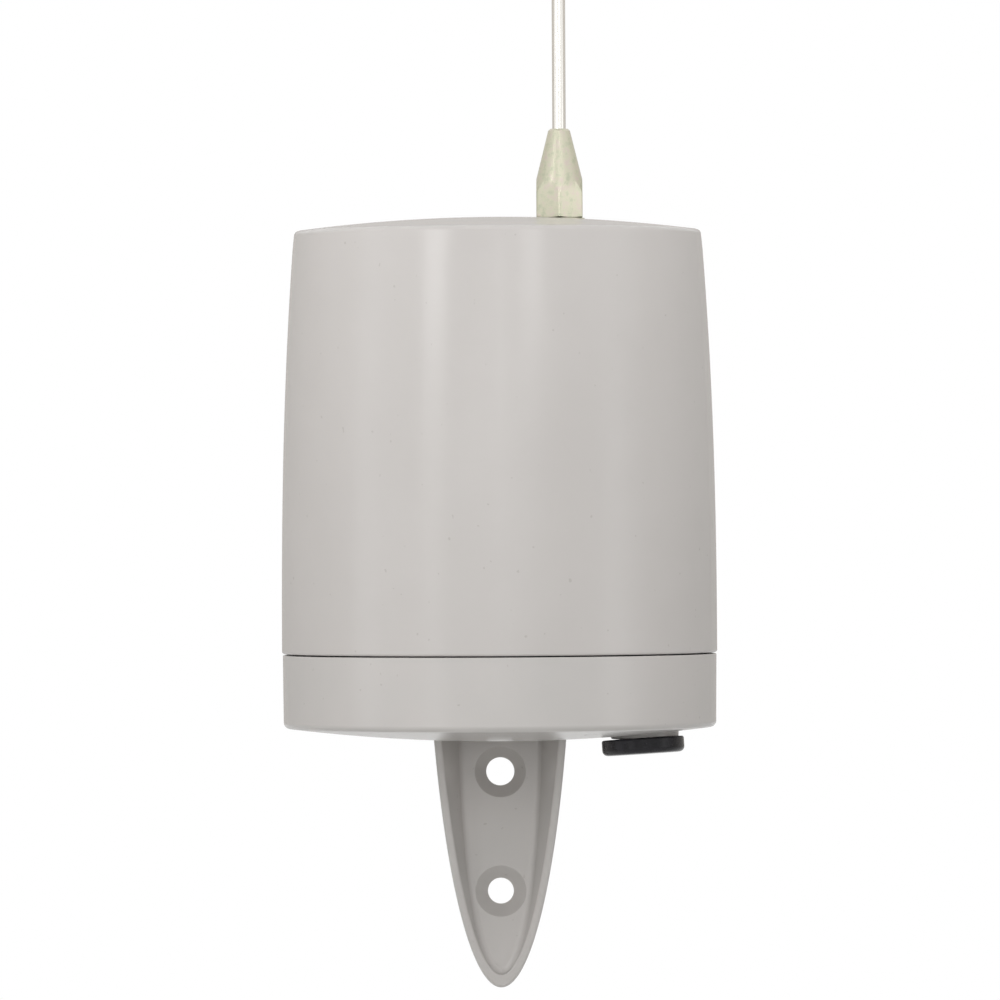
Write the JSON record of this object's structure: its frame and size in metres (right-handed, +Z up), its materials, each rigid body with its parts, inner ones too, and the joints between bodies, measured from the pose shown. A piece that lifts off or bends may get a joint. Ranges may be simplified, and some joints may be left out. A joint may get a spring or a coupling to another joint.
{
  "type": "roller shutter motor receiver",
  "caption": "Round wall-mounted outdoor radio receiver of a roller shutter motor, with a whip aerial, a two-shell housing, a bracket tongue and a plugged cable entry.",
  "frame": {"origin": "on the wall plane, at the back of the bracket tongue, midway between the two wall screw holes", "axes": "+Z up along the housing's axis and the whip, +Y into the wall, so the housing's front faces -Y"},
  "size_m": [0.0756, 0.0762, 0.3084],
  "materials": {
    "cover_plastic": "fine moulded matt, light grey",
    "base_plastic": "fine moulded matt, grey",
    "black_rubber": "smooth black",
    "zinc_steel": "zinc plated",
    "passivated_zinc": "turned, zinc plated, yellow-green passivation",
    "polished_steel": "polished stainless rod",
    "brass": "plain turned",
    "tinned_steel": "tinned",
    "circuit_board": "green solder mask",
    "terminal_plastic": "green moulding",
    "blue_resin": "blue resin",
    "black_plastic": "black moulding",
    "capacitor_sleeve": "shrunk sleeve",
    "fuse_glass": "clear tube",
    "red_plastic": "red moulding"
  },
  "bodies": {
    "base": {"base_cup": "base_plastic", "seam_gasket": "black_rubber", "cover_screw_back": "zinc_steel", "cover_screw_front": "zinc_steel", "main_board": "circuit_board", "board_screw_left": "zinc_steel", "board_screw_right": "zinc_steel", "terminal_block": "terminal_plastic", "terminal_screw_1": "zinc_steel", "terminal_screw_2": "zinc_steel", "terminal_screw_3": "zinc_steel", "terminal_screw_4": "zinc_steel", "terminal_screw_5": "zinc_steel", "fuse_glass": "fuse_glass", "fuse_cap_left": "tinned_steel", "fuse_cap_right": "tinned_steel", "fuse_clip_left": "tinned_steel", "fuse_clip_right": "tinned_steel", "varistor": "blue_resin", "transformer": "blue_resin", "relay_up": "black_plastic", "relay_down": "black_plastic", "capacitor": "capacitor_sleeve", "rectifier": "black_plastic", "pin_header": "black_plastic", "radio_board": "circuit_board", "radio_can": "tinned_steel", "crystal": "tinned_steel", "aerial_contact": "brass", "learn_switch": "black_plastic", "status_led": "red_plastic"},
    "cover": {"cover": "cover_plastic", "aerial_stud": "brass", "stud_washer": "brass", "stud_nut": "brass"},
    "washer": {"aerial_washer": "zinc_steel"},
    "aerial": {"hex_ferrule": "passivated_zinc", "whip_rod": "polished_steel"},
    "plug": {"entry_plug": "black_rubber"},
    "button": {"learn_button": "red_plastic"}
  },
  "joints": [
    {"name": "cover_lift", "type": "slide", "parent": "base", "child": "cover", "axis": [0, 0, 1], "range_m": [0, 0.085]},
    {"name": "aerial_turn", "type": "hinge", "parent": "cover", "child": "washer", "pos_m": [0.0108, -0.03834, 0.108], "axis": [0, 0, 1], "range_deg": [0, 1800]},
    {"name": "aerial_rise", "type": "slide", "parent": "washer", "child": "aerial", "axis": [0, 0, 1], "range_m": [0, 0.004]},
    {"name": "plug_pull", "type": "slide", "parent": "base", "child": "plug", "axis": [0, 0, -1], "range_m": [0, 0.012]},
    {"name": "learn_press", "type": "slide", "parent": "base", "child": "button", "axis": [0, 1, 0], "range_m": [0, 0.0005], "stiffness_N_per_m": 800}
  ],
  "couplings": [
    {"joint": "aerial_turn", "follows": "aerial_rise", "rad_per_m": 7853.9}
  ]
}
